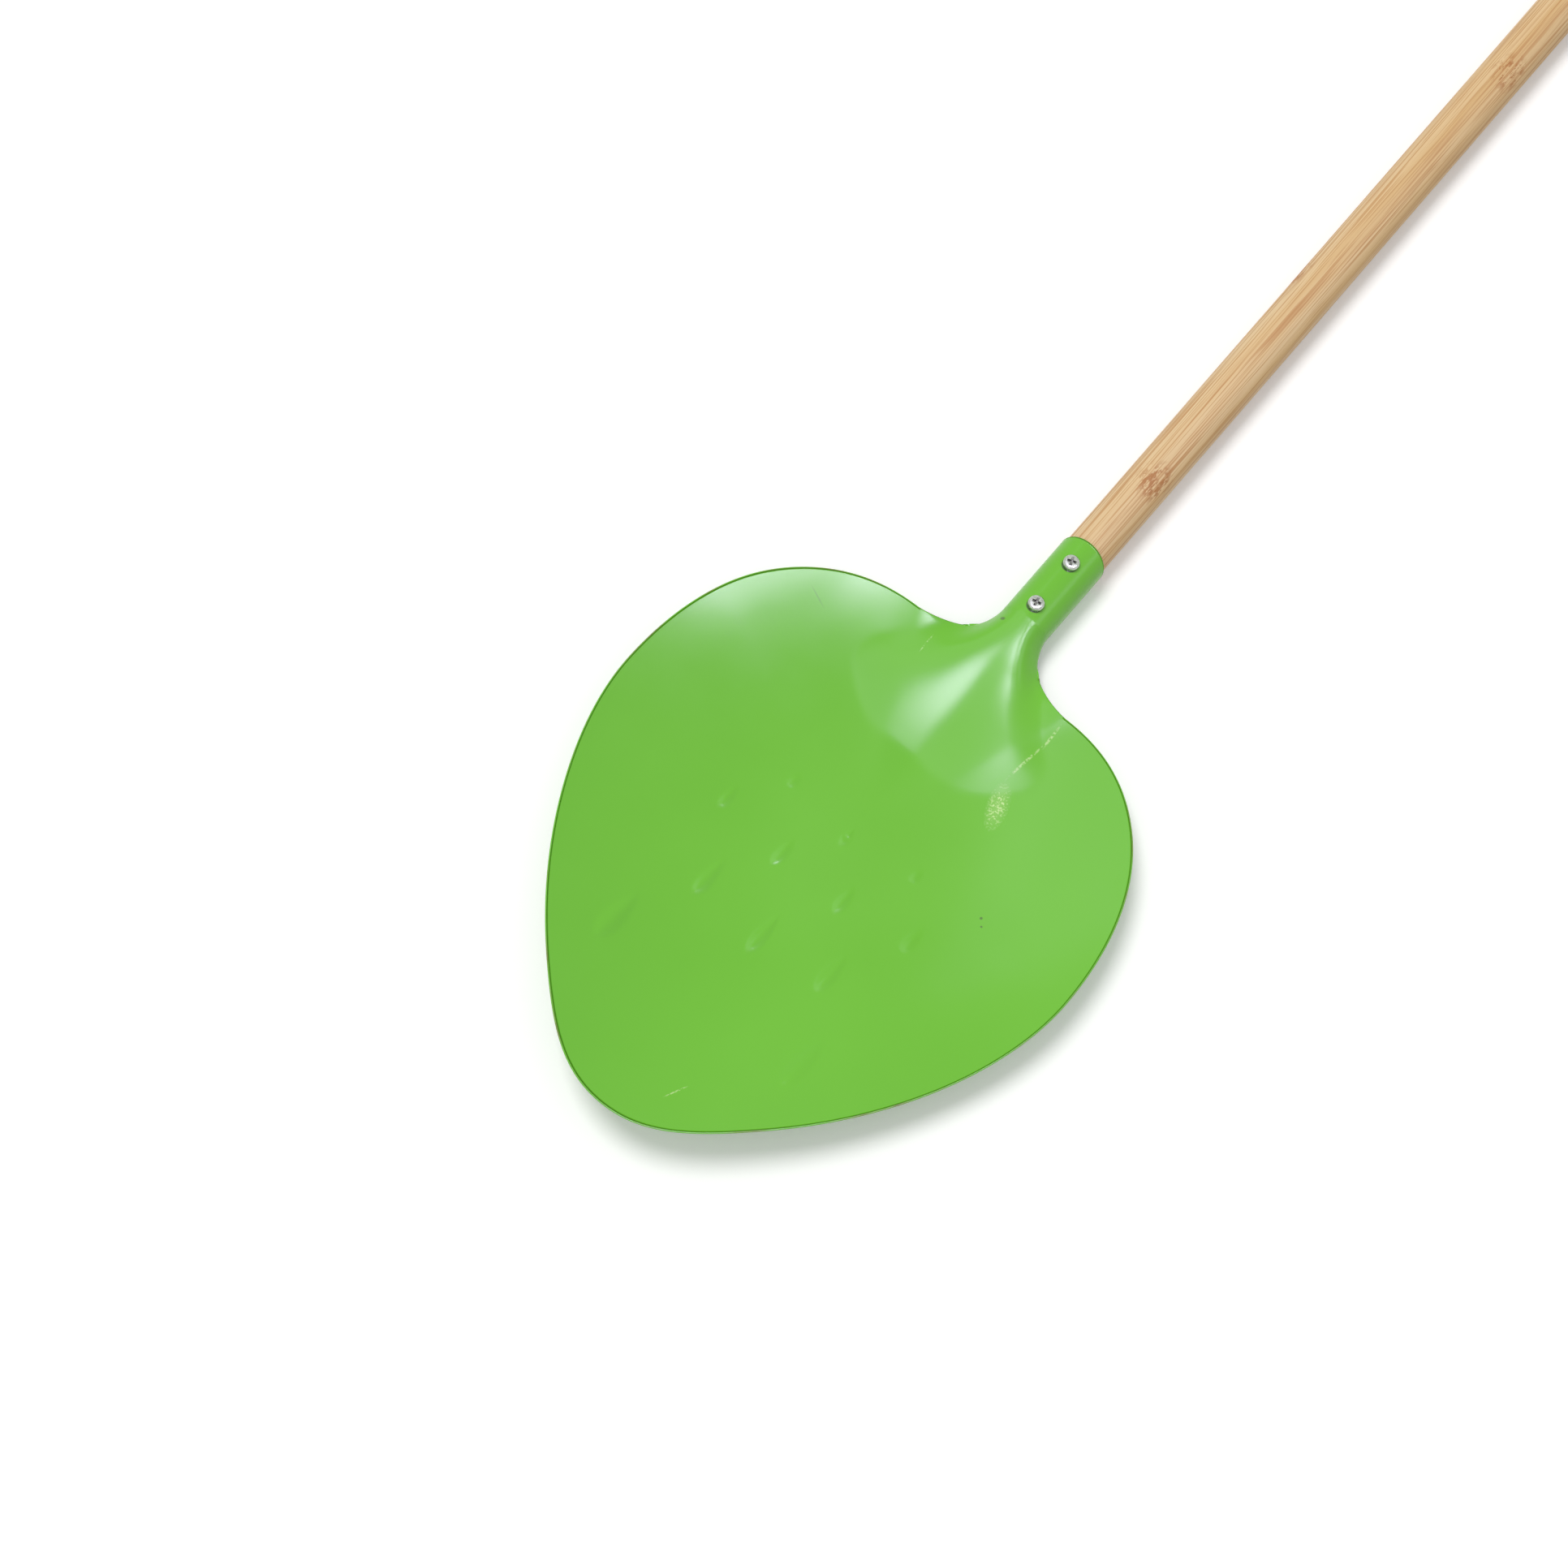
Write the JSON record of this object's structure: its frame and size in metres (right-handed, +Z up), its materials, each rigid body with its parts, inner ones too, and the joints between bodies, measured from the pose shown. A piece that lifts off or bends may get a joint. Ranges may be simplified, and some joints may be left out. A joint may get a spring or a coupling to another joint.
{
  "type": "children's spade",
  "caption": "Small garden spade with a dished, heart-shaped green steel blade, a rolled socket and a round bamboo shaft held by cross-head screws.",
  "frame": {"origin": "middle of the spade's bounding box, on the surface that it lies on", "axes": "+Y along the shaft, from the blade's tip to the shaft's end; +Z up, out of the hollow side of the blade; +X across the blade"},
  "size_m": [0.1856, 0.661, 0.022],
  "materials": {
    "green_paint": "gloss",
    "bamboo": "satin",
    "bright_zinc": "polished"
  },
  "bodies": {
    "root": {"blade": "green_paint", "shaft": "bamboo", "upper_screw": "bright_zinc", "lower_screw": "bright_zinc"}
  },
  "joints": []
}
